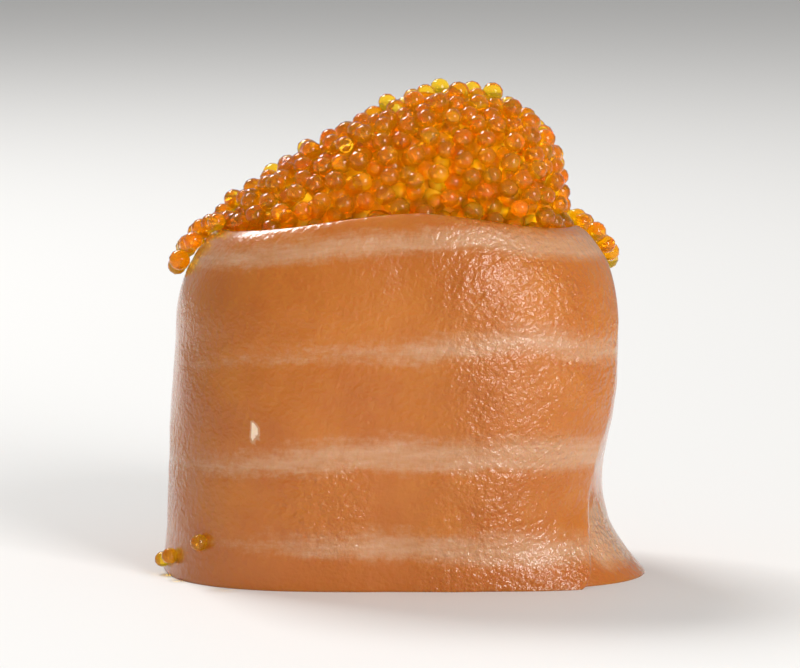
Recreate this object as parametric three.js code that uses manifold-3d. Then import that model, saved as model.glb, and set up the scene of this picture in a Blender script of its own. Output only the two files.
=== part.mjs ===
// A gunkan sushi: an oval block of pressed rice, one slice of salmon wrapped round it and lapped over
// itself, and a heap of roe that the slice's upper edge holds in.
// Millimetres, +Z up. The front looks towards -Y. The origin is the middle of the footprint, on the surface
// that the sushi stands on.

import * as THREE from 'three';
import { mergeVertices } from 'three/addons/utils/BufferGeometryUtils.js';
import Module from 'manifold-3d';

const solids = await Module();
solids.setup();

const { lerp, smoothstep } = THREE.MathUtils;
const radians = THREE.MathUtils.degToRad;

// ---- Driving dimensions ----

const BODY_WIDTH = 45.6;
const BODY_DEPTH = 35.6;
const PLAN_SQUARENESS = 2.6; // 2 is an ellipse, more is boxier
const FOOT_LEAN = 1.6; // how far the foot stands to the left of the shoulders
const FOOT_LEAN_HEIGHT = 24;
const BELLY = 0.5; // how far the sides swell between foot and shoulder
// A shallow dent low on the right side.
const WAIST = { angle: radians(-12), halfWidth: radians(50), height: 20, depth: 0.9 };

// The slice's height, where its shoulder starts to turn in, and how far its rim leans in, on each side.
const RIM_HEIGHT = { right: 34.6, back: 36.5, left: 34.8, front: 37.7 };
const SHOULDER_HEIGHT = { right: 24.5, back: 26, left: 25.5, front: 27.5 };
const RIM_LEAN = { right: 4.6, back: 4.0, left: 4.4, front: 3.4 };
const SHOULDER_TURN = radians(74); // angle that the shoulder's arc turns through, up to the rim
const CLIMBS = [0, 0.05, 0.12, 0.25, 0.5, 0.66, 0.83, 1]; // heights of the slice's rows: see skinPoint
const RIM_ROUNDING = 0.45;

const SLICE_STEP = radians(6.8);
const SLICE_THICKNESS = 2.4;
const SLICE_END_THICKNESS = 1.3;
const LAYER_GAP = 0.2;
const CLEARANCE = 0.45; // between the roe and the slice

// Seen from above, the slice runs anticlockwise from its hidden start to its outer end at the right corner.
const SLICE_START = radians(-62);
const SLICE_END = radians(324);
const END_SLANT = radians(24); // how much further round the end's upper corner lies
const END_TAPER = radians(26);
const END_LIFT = 0.9; // how far the lapped end stands proud of the body

// The foot of the slice flares outwards on the right, where the lap leaves it loose.
const FLARE = { angle: radians(-16), halfWidth: radians(44), height: 10, reach: 5.4 };

const RICE_HEIGHT = 29.2;
const RICE_SIDE_INSET = 2.95;
const LAP_INSET = 1.7; // more room where the slice lies double
const GRAIN = { length: 6.2, width: 2.7, height: 2.5, sunk: 0.35 };

const ROE_DIAMETER = 2.15;
const ROE_SPREAD = 0.16; // share by which the eggs differ in size
const FEW_SIDES_GROWTH = 1.06; // gives an egg with few sides the bulk of a round one
const EGG_DEPTH = ROE_DIAMETER * 0.45; // of an egg's middle below the heap's surface
const CORE_DEPTH = ROE_DIAMETER * 0.72;
const ROE_FLOOR = RICE_HEIGHT + 0.4;
const HEAP = {
  peakX: 5, base: 34.6, height: 15.4, rightRun: 13, leftRun: 26.5, halfDepth: 12.8, halfLength: 23.5,
};
// Where roe has spilled over the rim, and how low it has come.
const SPILLS = [
  { seed: 3, angle: radians(184), halfWidth: radians(17), low: 0.72 },
  { seed: 5, angle: radians(14), halfWidth: radians(14), low: 0.74 },
];
// Single eggs that stick to the slice near its foot.
const STRAY_EGGS = [
  { angle: radians(216), z: 4.4, size: 1.9 },
  { angle: radians(203), z: 2.3, size: 1.8 },
  { angle: radians(196), z: 1.5, size: 1.7 },
];

// ---- Helpers ----

// A repeatable random sequence of numbers from 0 to 1.
function randomSource(seed) {
  let state = seed;
  return () => {
    state = (state * 16807) % 2147483647;
    return state / 2147483647;
  };
}

// A value that passes smoothly through one value for each side of the body.
function bySide(angle, { right, back, left, front }) {
  const middle = (right + back + left + front) / 4;
  const sideways = ((right - left) / 2) * Math.cos(angle) + ((back - front) / 2) * Math.sin(angle);
  return middle + sideways + ((right + left - back - front) / 4) * Math.cos(2 * angle);
}

// 1 at the middle of a stretch, falling smoothly to 0 at its ends.
function swell(distance, halfWidth) {
  return smoothstep(1 - Math.abs(distance) / halfWidth, 0, 1);
}

// The signed distance from one angle to another, by the shorter way round.
function turnBetween(from, to) {
  return Math.atan2(Math.sin(to - from), Math.cos(to - from));
}

function solidOf(geometry) {
  const bare = new THREE.BufferGeometry().setAttribute('position', geometry.getAttribute('position'));
  bare.setIndex(geometry.index);
  const merged = mergeVertices(bare, 1e-3);
  return new solids.Manifold(new solids.Mesh({
    numProp: 3,
    vertProperties: merged.attributes.position.array,
    triVerts: new Uint32Array(merged.index.array),
  }));
}

function geometryOf(solid) {
  const { vertProperties, triVerts } = solid.getMesh();
  const geometry = new THREE.BufferGeometry();
  geometry.setAttribute('position', new THREE.BufferAttribute(vertProperties, 3));
  geometry.setIndex(new THREE.BufferAttribute(triVerts, 1));
  geometry.computeVertexNormals();
  return geometry;
}

// A solid may fall into scraps when it is cut: this is its largest body.
function mainBody(solid) {
  return solid.decompose().reduce((most, body) => (body.volume() > most.volume() ? body : most));
}

// Joins rings of points, each with as many points as the next, into a closed surface. Rings run
// anticlockwise as seen from where the surface ends. The first and last rings are closed by rungs from
// side to side, which suits a bent section as well as an oval one.
function loft(rings) {
  const size = rings[0].length;
  const index = [];
  for (let row = 0; row + 1 < rings.length; row += 1) {
    for (let step = 0; step < size; step += 1) {
      const a = row * size + step;
      const b = row * size + ((step + 1) % size);
      index.push(a, b, b + size, a, b + size, a + size);
    }
  }
  const last = (rings.length - 1) * size;
  for (let low = 0, high = size - 1; low < high - 1; low += 1, high -= 1) {
    index.push(low, high, low + 1, last + low, last + low + 1, last + high);
    if (high - low < 3) continue;
    index.push(high, high - 1, low + 1, last + high, last + low + 1, last + high - 1);
  }
  const geometry = new THREE.BufferGeometry().setFromPoints(rings.flat());
  geometry.setIndex(index);
  return geometry;
}

// One egg of roe: a rough ball with few sides.
function roeEgg({ centre, size, yaw, tilt }) {
  const egg = new THREE.IcosahedronGeometry(size / 2, 0);
  egg.rotateX(tilt);
  egg.rotateZ(yaw);
  egg.translate(centre.x, centre.y, centre.z);
  return solidOf(egg);
}

// ---- The body's skin: the outer face that a slice of even thickness would have ----

function planRadius(angle) {
  const across = Math.abs(Math.cos(angle) / (BODY_WIDTH / 2)) ** PLAN_SQUARENESS;
  const along = Math.abs(Math.sin(angle) / (BODY_DEPTH / 2)) ** PLAN_SQUARENESS;
  const unevenness = 0.01 * Math.cos(3 * angle + 0.6) + 0.006 * Math.cos(5 * angle - 1);
  return (across + along) ** (-1 / PLAN_SQUARENESS) * (1 + unevenness);
}

// climb runs from 0 at the foot, through 0.5 where the shoulder starts, to 1 at the rim.
function skinPoint(angle, climb) {
  const shoulder = bySide(angle, SHOULDER_HEIGHT);
  const rise = bySide(angle, RIM_HEIGHT) + 0.25 * Math.sin(4 * angle + 1) - shoulder;
  const turned = Math.max(0, climb - 0.5) * 2 * SHOULDER_TURN;
  const z = climb < 0.5 ? shoulder * 2 * climb
    : shoulder + (rise * Math.sin(turned)) / Math.sin(SHOULDER_TURN);
  const inward = (bySide(angle, RIM_LEAN) * (1 - Math.cos(turned))) / (1 - Math.cos(SHOULDER_TURN));
  const belly = BELLY * Math.sin(Math.PI * THREE.MathUtils.clamp(z / 34, 0, 1)) ** 2;
  const dent = WAIST.depth * swell(turnBetween(WAIST.angle, angle), WAIST.halfWidth)
    * swell(z - WAIST.height / 2, WAIST.height / 2);
  const radius = planRadius(angle) - inward + belly - dent;
  const lean = FOOT_LEAN * Math.max(0, 1 - z / FOOT_LEAN_HEIGHT) ** 1.3;
  return new THREE.Vector3(radius * Math.cos(angle) - lean, radius * Math.sin(angle), z);
}

// The skin's outward normal, kept level below the shoulder so that thickness is measured sideways there.
function skinNormal(angle, climb) {
  const reach = 1e-3;
  const round = skinPoint(angle + reach, climb).sub(skinPoint(angle - reach, climb));
  const low = Math.max(0, climb - reach);
  const up = skinPoint(angle, Math.min(1, climb + reach)).sub(skinPoint(angle, low));
  const normal = round.cross(up).normalize();
  normal.z *= smoothstep(climb, 0.4, 0.6);
  return normal.normalize();
}

// ---- The salmon slice ----

// The slice thins towards each end.
function thicknessAt(distanceFromEnd) {
  return lerp(SLICE_END_THICKNESS, SLICE_THICKNESS, smoothstep(distanceFromEnd, 0, END_TAPER));
}

function liftAt(angle) {
  return END_LIFT * smoothstep(angle, radians(270), SLICE_END);
}

// How thick the slice is at one place along its run, and how far its outer face lies outside the skin.
function sliceStation(angle) {
  const thickness = Math.min(thicknessAt(angle - SLICE_START), thicknessAt(SLICE_END - angle));
  if (angle > radians(90)) return { thickness, outward: liftAt(angle) };
  // The first stretch is pressed in by the lap that lies over it, and comes out to the skin beyond it.
  const lapping = Math.min(angle + 2 * Math.PI, SLICE_END);
  const pressed = liftAt(lapping) - thicknessAt(SLICE_END - lapping) - LAYER_GAP;
  const freed = smoothstep(angle, SLICE_END + END_SLANT - 2 * Math.PI, radians(24));
  return { thickness, outward: pressed * (1 - freed) };
}

// How far the foot flares out at this angle and height.
function flareAt(angle, z) {
  const round = swell(turnBetween(FLARE.angle, angle), FLARE.halfWidth);
  return FLARE.reach * round * Math.max(0, 1 - z / FLARE.height) ** 2;
}

// One cross-section of the slice: up the inner face, over the rim, and down the outer face.
function sliceSection(angle, grow) {
  const { thickness, outward } = sliceStation(angle);
  const nearEnd = smoothstep(angle, SLICE_END - radians(30), SLICE_END);
  const outer = [];
  const inner = [];
  CLIMBS.forEach((climb) => {
    const place = angle + nearEnd * END_SLANT * climb ** 0.6;
    const skin = skinPoint(place, climb);
    const normal = skinNormal(place, climb);
    const out = outward + flareAt(place, skin.z);
    outer.push(skin.clone().addScaledVector(normal, out + grow));
    inner.push(skin.clone().addScaledVector(normal, out - thickness - grow));
  });
  const crest = outer.at(-1).clone().add(inner.at(-1)).divideScalar(2);
  const inwards = inner.at(-1).clone().sub(outer.at(-1)).normalize();
  const rimUp = outer.at(-1).clone().sub(outer.at(-2)).normalize();
  rimUp.addScaledVector(inwards, -rimUp.dot(inwards)).normalize();
  crest.addScaledVector(rimUp, RIM_ROUNDING + grow);
  return [...inner, crest, ...outer.reverse()];
}

// Part of the slice, from one angle to another, with its faces moved out by grow on every side.
function sliceRun(from, to, grow) {
  const steps = Math.ceil((to - from) / SLICE_STEP);
  const sections = [];
  for (let step = 0; step <= steps; step += 1) {
    sections.push(sliceSection(lerp(from, to, step / steps), grow));
  }
  return solidOf(loft(sections));
}

function strayEgg({ angle, z, size }) {
  const climb = (z / bySide(angle, SHOULDER_HEIGHT)) / 2;
  const centre = skinPoint(angle, climb).addScaledVector(skinNormal(angle, climb), size * 0.3);
  return roeEgg({ centre, size, yaw: angle, tilt: z });
}

function salmonSlice() {
  return solids.Manifold.union([sliceRun(SLICE_START, SLICE_END, 0), ...STRAY_EGGS.map(strayEgg)]);
}

// The room that the slice takes up together with the clearance round it. It is made as two halves, because
// a single run would pass through itself where the slice lies double.
function sliceRoom() {
  const past = CLEARANCE / (BODY_WIDTH / 2);
  const half = radians(130);
  return solids.Manifold.union([
    sliceRun(SLICE_START - past, half, CLEARANCE),
    sliceRun(half, SLICE_END + past, CLEARANCE),
  ]);
}

// ---- The rice ----

function riceInset(angle) {
  return RICE_SIDE_INSET + LAP_INSET * swell(turnBetween(radians(-34), angle), radians(66));
}

// The block of rice, from the given height up, standing clear of the slice all round.
function riceBlock(bottom) {
  const steps = 44;
  const climbs = [0, 0.2, 0.4, 0.54];
  const rings = climbs.map((climb) => {
    const ring = [];
    for (let step = 0; step < steps; step += 1) {
      const angle = (2 * Math.PI * step) / steps;
      const point = skinPoint(angle, climb).addScaledVector(skinNormal(angle, climb), -riceInset(angle));
      point.z = Math.max(point.z, bottom);
      ring.push(point);
    }
    return ring;
  });
  const shoulder = rings.at(-1).map((p) => new THREE.Vector3(p.x * 0.8, p.y * 0.8, RICE_HEIGHT));
  return solidOf(loft([...rings, shoulder]));
}

// Places spread evenly over a region, by throwing them in one by one and keeping those that lie clear.
function scatter({ seed, tries, spacing, place }) {
  const random = randomSource(seed);
  const kept = [];
  for (let n = 0; n < tries; n += 1) {
    const made = place(random);
    if (made && kept.every((other) => other.centre.distanceTo(made.centre) > spacing)) kept.push(made);
  }
  return kept;
}

function riceGrain({ centre, yaw, tilt }) {
  const grain = new THREE.IcosahedronGeometry(1, 0);
  grain.scale(GRAIN.length / 2, GRAIN.width / 2, GRAIN.height / 2);
  grain.rotateY(tilt);
  grain.rotateZ(yaw);
  grain.translate(centre.x, centre.y, centre.z);
  return solidOf(grain);
}

function riceCore() {
  const grainHeight = GRAIN.height / 2 - GRAIN.sunk;
  const grains = scatter({
    seed: 41,
    tries: 4000,
    spacing: 4.9,
    place: (random) => {
      const angle = 2 * Math.PI * random();
      const reach = Math.sqrt(random());
      const edge = (planRadius(angle) - riceInset(angle) - 1) * reach;
      return {
        centre: new THREE.Vector3(edge * Math.cos(angle) - FOOT_LEAN, edge * Math.sin(angle), grainHeight),
        yaw: Math.PI * random(),
        tilt: radians(8) * (random() - 0.5),
      };
    },
  });
  const loose = solids.Manifold.union([riceBlock(grainHeight), ...grains.map(riceGrain)]);
  return mainBody(loose.intersect(riceBlock(0)));
}

// ---- The roe ----

// Height of the heap's surface above a point of the plan.
function heapHeight(x, y) {
  const fromPeak = x - HEAP.peakX;
  const ridge = fromPeak > 0
    ? Math.max(0, 1 - (fromPeak / HEAP.rightRun) ** 2.6) ** (1 / 2.6)
    : Math.max(0, 1 - (-fromPeak / HEAP.leftRun) ** 1.5);
  const halfDepth = HEAP.halfDepth * Math.max(0, 1 - Math.abs(x / HEAP.halfLength) ** 3) ** (1 / 3);
  const across = halfDepth > 0 ? Math.max(0, 1 - Math.abs(y / halfDepth) ** 2.3) ** (1 / 2.3) : 0;
  const lumps = 0.8 * Math.sin(0.72 * x + 1.5) * Math.cos(0.5 * y) + 0.4 * Math.sin(0.9 * y - 0.5 * x);
  return HEAP.base + HEAP.height * ridge * across + lumps * across;
}

function heapNormal(x, y) {
  const reach = 0.05;
  const slopeX = (heapHeight(x + reach, y) - heapHeight(x - reach, y)) / (2 * reach);
  const slopeY = (heapHeight(x, y + reach) - heapHeight(x, y - reach)) / (2 * reach);
  return new THREE.Vector3(-slopeX, -slopeY, 1).normalize();
}

// The middle of the slice's rim at this angle.
function rimMiddle(angle) {
  return skinPoint(angle, 1).addScaledVector(skinNormal(angle, 1), -SLICE_THICKNESS / 2);
}

// The inside of the heap, which the eggs stand half out of. It reaches under the slice's rim, so that the
// room that the slice needs can be cut from it.
function heapCore() {
  const steps = 38;
  const shares = [1, 0.96, 0.89, 0.79, 0.64, 0.46, 0.28, 0.1];
  const ringAt = (share, height) => {
    const ring = [];
    for (let step = 0; step < steps; step += 1) {
      const { x, y } = rimMiddle((2 * Math.PI * step) / steps).multiplyScalar(share);
      ring.push(new THREE.Vector3(x, y, height ?? heapHeight(x, y) - CORE_DEPTH));
    }
    return ring;
  };
  return solidOf(loft([ringAt(1, ROE_FLOOR), ...shares.map((share) => ringAt(share))]));
}

function randomEgg(random, centre) {
  return {
    centre,
    size: ROE_DIAMETER * (1 + ROE_SPREAD * (random() - 0.5)) * FEW_SIDES_GROWTH,
    yaw: 2 * Math.PI * random(),
    tilt: Math.PI * random(),
  };
}

// Where a straight line from the inside of the heap comes out of its surface.
function heapExit(start, direction) {
  let near = 0;
  let far = 40;
  while (far - near > 0.01) {
    const reach = (near + far) / 2;
    const point = start.clone().addScaledVector(direction, reach);
    if (point.z < heapHeight(point.x, point.y)) near = reach;
    else far = reach;
  }
  return start.clone().addScaledVector(direction, near);
}

function heapEggs() {
  return scatter({
    seed: 7,
    tries: 9000,
    spacing: ROE_DIAMETER * 1.08,
    place: (random) => {
      const start = new THREE.Vector3(lerp(-17, 13, random()), 0, HEAP.base);
      const yaw = 2 * Math.PI * random();
      const pitch = Math.asin(random());
      const direction = new THREE.Vector3(Math.cos(pitch), 0, Math.sin(pitch));
      direction.applyAxisAngle(new THREE.Vector3(0, 0, 1), yaw);
      const exit = heapExit(start, direction);
      const rim = rimMiddle(Math.atan2(exit.y, exit.x));
      const inside = Math.hypot(exit.x, exit.y) < Math.hypot(rim.x, rim.y);
      const depth = EGG_DEPTH * lerp(0.85, 1.15, random());
      const centre = exit.addScaledVector(heapNormal(exit.x, exit.y), -depth);
      return inside && centre.z > HEAP.base ? randomEgg(random, centre) : null;
    },
  });
}

// A place outside the rim at this climb or, where past is more than nothing, over its crest and inwards.
function rimPlace({ angle, climb, past = 0, proud }) {
  const inwards = new THREE.Vector3(-Math.cos(angle), -Math.sin(angle), 0);
  const normal = skinNormal(angle, climb).lerp(new THREE.Vector3(0, 0, 1), Math.min(1, past)).normalize();
  return skinPoint(angle, climb).addScaledVector(inwards, past).addScaledVector(normal, proud);
}

// Half the width of a spill, as an angle, where it has come down to this climb.
function spillSpread({ halfWidth, low }, climb) {
  return halfWidth * lerp(0.45, 1, (climb - low) / (1 - low));
}

// What a spill's eggs are stuck to: a thin tongue from inside the heap, over the rim and down the shoulder.
function spillTongue(spill) {
  const stations = [
    { climb: 1, past: 3 },
    { climb: 1, past: 1.2 },
    { climb: lerp(spill.low, 1, 0.55), past: 0 },
    { climb: lerp(spill.low, 1, 0.15), past: 0 },
  ];
  return solidOf(loft(stations.map(({ climb, past }) => {
    const corner = (side, proud) => {
      const angle = spill.angle + side * 0.75 * spillSpread(spill, climb);
      return rimPlace({ angle, climb, past, proud });
    };
    return [corner(-1, 0), corner(1, 0), corner(1, 1.4), corner(-1, 1.4)];
  })));
}

// Eggs that have spilled over the rim and cling to the shoulder outside it.
function spilledEggs(spill) {
  return scatter({
    seed: spill.seed,
    tries: 900,
    spacing: ROE_DIAMETER * 0.9,
    place: (random) => {
      const climb = lerp(spill.low, 1.2, random());
      const past = climb > 1 ? 2 * random() : 0;
      const angle = spill.angle + spillSpread(spill, Math.min(1, climb)) * (2 * random() - 1);
      const proud = ROE_DIAMETER * 0.5;
      return randomEgg(random, rimPlace({ angle, climb: Math.min(1, climb), past, proud }));
    },
  });
}

function roeHeap() {
  const eggs = [...heapEggs(), ...SPILLS.flatMap(spilledEggs)].map(roeEgg);
  const heaped = solids.Manifold.union([heapCore(), ...SPILLS.map(spillTongue), ...eggs]);
  return mainBody(heaped.subtract(sliceRoom())).simplify(0.03);
}

// ---- The sushi ----

const looks = {
  salmon: new THREE.MeshStandardMaterial({ color: 0xd9824a, roughness: 0.32, metalness: 0 }),
  rice: new THREE.MeshStandardMaterial({ color: 0xf1ece0, roughness: 0.45, metalness: 0 }),
  roe: new THREE.MeshStandardMaterial({ color: 0xe8780f, roughness: 0.15, metalness: 0 }),
};

function piece(name, solid, material) {
  const mesh = new THREE.Mesh(geometryOf(solid), material);
  mesh.name = name;
  return mesh;
}

const sushi = new THREE.Group();
sushi.add(piece('salmon_slice', salmonSlice(), looks.salmon));
sushi.add(piece('rice_block', riceCore(), looks.rice));
sushi.add(piece('roe_heap', roeHeap(), looks.roe));

const footprint = new THREE.Box3().setFromObject(sushi).getCenter(new THREE.Vector3());
sushi.position.set(-footprint.x, -footprint.y, 0);

export default sushi;
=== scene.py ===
# %% [markdown]
# # A gunkan sushi
# The piece has three parts: a block of pressed rice, one slice of salmon wrapped round it like a belt, and a
# heap of roe on top. The slice comes first here, because the other two have to fit inside it: it is laid out
# flat and bent round. Then the eggs are dropped one by one onto their heap, and the rice goes in last.

import math
from bisect import bisect_left

import bmesh
import bpy
from mathutils import Matrix, Vector, noise
from mathutils.bvhtree import BVHTree


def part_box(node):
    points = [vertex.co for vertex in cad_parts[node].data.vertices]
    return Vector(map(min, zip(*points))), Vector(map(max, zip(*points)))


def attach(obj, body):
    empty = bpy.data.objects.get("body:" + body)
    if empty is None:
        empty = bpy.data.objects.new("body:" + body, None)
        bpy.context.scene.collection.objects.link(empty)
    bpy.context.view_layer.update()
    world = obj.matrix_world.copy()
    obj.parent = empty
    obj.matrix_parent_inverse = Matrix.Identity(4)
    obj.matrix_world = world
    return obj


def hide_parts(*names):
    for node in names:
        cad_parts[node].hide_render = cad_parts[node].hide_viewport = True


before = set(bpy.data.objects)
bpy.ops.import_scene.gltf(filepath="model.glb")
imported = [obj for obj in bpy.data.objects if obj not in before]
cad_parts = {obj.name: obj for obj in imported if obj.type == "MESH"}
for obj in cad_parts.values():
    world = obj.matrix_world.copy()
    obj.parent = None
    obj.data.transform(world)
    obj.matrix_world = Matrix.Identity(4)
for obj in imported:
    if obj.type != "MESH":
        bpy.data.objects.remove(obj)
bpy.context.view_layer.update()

# %% [markdown]
# ## Small helpers
# The shapes are worked out in millimetres, the way a cook or a maker would measure them, and turned into
# metres only when a mesh is finished. The random numbers come from a short rule with a fixed start, so that
# every run lays the same eggs in the same places.

# %% Helpers for numbers
MM = 0.001
FULL_TURN = 2 * math.pi


def blend(low, high, share):
    return low + (high - low) * share


def ease(x, low, high):
    """0 below low, 1 above high, and a smooth passage between them."""
    share = min(1, max(0, (x - low) / (high - low)))
    return share * share * (3 - 2 * share)


def swell(distance, half_width):
    """1 at the middle of a stretch, falling smoothly to 0 at its ends."""
    return ease(1 - abs(distance) / half_width, 0, 1)


def turn_between(start, end):
    """The signed angle from one direction to another, by the shorter way round."""
    return math.atan2(math.sin(end - start), math.cos(end - start))


def dice(seed):
    """A repeatable source of numbers from 0 to 1."""
    state = seed

    def throw():
        nonlocal state
        state = state * 16807 % 2147483647
        return state / 2147483647

    return throw


# %% [markdown]
# ## The body's skin
# The slice, the rice and the heap all follow one outline, so it is described once, as a skin: give it an
# angle round the body and a climb up the side, and it gives a point. The outline could be a plain ellipse,
# but pressed rice is boxier than that, and no hand presses it evenly, so the plan is a squarish oval with a
# few slow waves in it.

# %% The outline and the sides
BODY_WIDTH, BODY_DEPTH = 45.6, 35.6
PLAN_SQUARENESS = 2.6
RIM_HEIGHT = dict(right=34.6, back=36.5, left=34.8, front=37.7)
SHOULDER_HEIGHT = dict(right=24.5, back=26, left=25.5, front=27.5)
RIM_LEAN = dict(right=4.6, back=4.0, left=4.4, front=3.4)
RIM_WAVE = 0.25
SHOULDER_TURN = math.radians(74)
FOOT_LEAN, FOOT_LEAN_HEIGHT, FOOT_LEAN_CURVE = 1.6, 24, 1.3
BELLY, BELLY_TOP = 0.5, 34
WAIST_ANGLE, WAIST_HALF_WIDTH = math.radians(-12), math.radians(50)
WAIST_HEIGHT, WAIST_DEPTH = 20, 0.9


def by_side(angle, right, back, left, front):
    """A measure that passes smoothly through one value for each side of the body."""
    middle = (right + back + left + front) / 4
    sideways = (right - left) / 2 * math.cos(angle) + (back - front) / 2 * math.sin(angle)
    return middle + sideways + (right + left - back - front) / 4 * math.cos(2 * angle)


def plan_radius(angle):
    across = abs(math.cos(angle) / (BODY_WIDTH / 2)) ** PLAN_SQUARENESS
    along = abs(math.sin(angle) / (BODY_DEPTH / 2)) ** PLAN_SQUARENESS
    unevenness = 0.01 * math.cos(3 * angle + 0.6) + 0.006 * math.cos(5 * angle - 1)
    return (across + along) ** (-1 / PLAN_SQUARENESS) * (1 + unevenness)


print("plan at the front, in mm:", round(plan_radius(math.radians(270)), 1))


# %% A point on the skin
def skin_point(angle, climb):
    """climb is 0 at the foot, 0.5 where the shoulder starts to turn in, and 1 at the rim."""
    shoulder = by_side(angle, **SHOULDER_HEIGHT)
    rise = by_side(angle, **RIM_HEIGHT) + RIM_WAVE * math.sin(4 * angle + 1) - shoulder
    turned = max(0, climb - 0.5) * 2 * SHOULDER_TURN
    if climb < 0.5:
        height = shoulder * 2 * climb
    else:
        height = shoulder + rise * math.sin(turned) / math.sin(SHOULDER_TURN)
    inward = by_side(angle, **RIM_LEAN) * (1 - math.cos(turned)) / (1 - math.cos(SHOULDER_TURN))
    belly = BELLY * math.sin(math.pi * min(1, max(0, height / BELLY_TOP))) ** 2
    waist = (WAIST_DEPTH * swell(turn_between(WAIST_ANGLE, angle), WAIST_HALF_WIDTH)
             * swell(height - WAIST_HEIGHT / 2, WAIST_HEIGHT / 2))
    radius = plan_radius(angle) - inward + belly - waist
    lean = FOOT_LEAN * max(0, 1 - height / FOOT_LEAN_HEIGHT) ** FOOT_LEAN_CURVE
    return Vector((radius * math.cos(angle) - lean, radius * math.sin(angle), height))


def skin_normal(angle, climb, reach=1e-3):
    around = skin_point(angle + reach, climb) - skin_point(angle - reach, climb)
    upward = skin_point(angle, min(1, climb + reach)) - skin_point(angle, max(0, climb - reach))
    normal = around.cross(upward).normalized()
    normal.z *= ease(climb, 0.4, 0.6)  # level below the shoulder
    return normal.normalized()


print("skin at the front rim, in mm:", [round(x, 1) for x in skin_point(math.radians(270), 1)])

# %% [markdown]
# ## The salmon slice, laid flat
# The cook cuts one long slice across the fillet, as wide as the belt is high, and wraps it round the rice.
# It could be lofted straight into its bent form, but then its fat lines and its cut edges would be hard to
# place. So it is made as it lies on the board: a slab at its real size, with its edges rounded by bevels and
# enough rows and columns to bend well. Its length runs along X, its height along Z, and its outer face
# looks towards -Y.

# %% The slab
SLICE_START, SLICE_END = math.radians(-62), math.radians(324)
SLICE_LENGTH = 137
WALL_HEIGHT, SHOULDER_ARC = 26, 11.5  # the parts of the slice's height that stand and that lean in
CREST = 0.4
SLICE_THICKNESS, SLICE_END_THICKNESS = 2.4, 1.3
COLUMNS, ROWS = 330, 84
EDGE_ROUNDING, FOOT_ROUNDING = 0.7, 0.3


def lies_along(edge, axis, length):
    run = edge.verts[1].co - edge.verts[0].co
    return abs(run[axis]) > length and run.length < abs(run[axis]) * 1.001


def flat_slice():
    slab = bmesh.new()
    bmesh.ops.create_cube(slab, size=1)
    size = Vector((SLICE_LENGTH, SLICE_THICKNESS, WALL_HEIGHT + SHOULDER_ARC + CREST))
    bmesh.ops.scale(slab, vec=size, verts=slab.verts)
    bmesh.ops.translate(slab, vec=(size.x / 2, 0, size.z / 2), verts=slab.verts)
    upper = [edge for edge in slab.edges if lies_along(edge, 2, 1)
             or (min(v.co.z for v in edge.verts) > 1 and lies_along(edge, 0, 1))]
    bmesh.ops.bevel(slab, geom=upper, offset=EDGE_ROUNDING, offset_type="OFFSET", affect="EDGES",
                    segments=3, profile=0.5, material=-1)
    foot = [edge for edge in slab.edges
            if max(v.co.z for v in edge.verts) < 0.1 and lies_along(edge, 0, 1)]
    bmesh.ops.bevel(slab, geom=foot, offset=FOOT_ROUNDING, offset_type="OFFSET", affect="EDGES",
                    segments=2, profile=0.5, material=-1)
    across = [edge for edge in slab.edges if lies_along(edge, 0, SLICE_LENGTH / 2)]
    bmesh.ops.subdivide_edges(slab, edges=across, cuts=COLUMNS, use_grid_fill=True)
    upright = [edge for edge in slab.edges if lies_along(edge, 2, WALL_HEIGHT / 2)]
    bmesh.ops.subdivide_edges(slab, edges=upright, cuts=ROWS, use_grid_fill=True)
    return slab


slab = flat_slice()
print("slab:", len(slab.verts), "points,", len(slab.faces), "faces")

# %% [markdown]
# ## Fat lines
# Salmon flesh is layered: thin sheets of pale fat part the layers of muscle, and where the knife crosses
# them they show as soft bands along the slice. A texture of stripes could draw them, but the same bands are
# wanted in the relief too, because fat sinks a little beside the flesh. So each point of the slab is told
# how much fat it is, and both the shape and the material read that.

# %% Where the fat lies
# Each band has its path, as run along the slice and height, its half width, its strength along the run, the
# start of its own slow wave, and the place along the run where it thins.
# The strengths are lower at the low runs, towards the left of the front: partly the fat fading there, and
# partly painted shade that darkens that side.
FAT_LINES = [
    dict(path=[(90, 4.4), (127, 4.6), (134, 4.0)], half_width=1.3,
         strength=[(96, 0.6), (116, 0.95)], wave=0.4, thin_at=98),
    dict(path=[(100, 12.3), (105, 12.8), (112, 13.4), (127, 13.2), (131, 13.7), (137, 13.4)], half_width=1.6,
         strength=[(98, 0.55), (112, 0.92), (122, 1)], wave=2.1, thin_at=60),
    dict(path=[(99, 22.3), (104, 22.9), (120, 22.8), (127, 24.0), (130, 24.9), (134, 24.4)], half_width=1.35,
         strength=[(98, 0.46), (112, 0.6), (124, 0.9)], wave=3.9, thin_at=84),
    dict(path=[(100, 32.9), (120, 33.2), (127, 34.2), (131, 34.7)], half_width=1.5,
         strength=[(98, 0.75), (112, 0.95)], wave=5.2, thin_at=72),
]
FAT_SOFTNESS = 1.5
SOFTER_ABOVE, HARDER_BELOW = 1.3, 0.8  # a band fades upwards and ends more sharply below
FRONT_RUN, FRONT_HALF, AWAY_HALF = 115, 22, 40  # the run that faces the viewer, and how far that goes
FRONT_WAVE, OTHER_WAVE = 0.2, 0.7
THINNING, THIN_HALF_WIDTH = 0.55, 16
GLINT_RUN, GLINT_HEIGHT, GLINT_SIZE = 103.6, 15.6, (0.42, 1.1)  # a small raised bump, painted near-white as a highlight
GLINT_LEVEL = 1.8  # above 1, so that the finish can tell it from a band
SCUFF_RUN, SCUFF_HEIGHT = 15.5, 4.6  # where the flared foot was rubbed
SCUFF_HALF_LENGTH, SCUFF_HALF_HEIGHT = 10, 5
CRINKLE_RUN, CRINKLE_HALF_LENGTH = 129, 10  # the end was pressed down by hand


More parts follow.
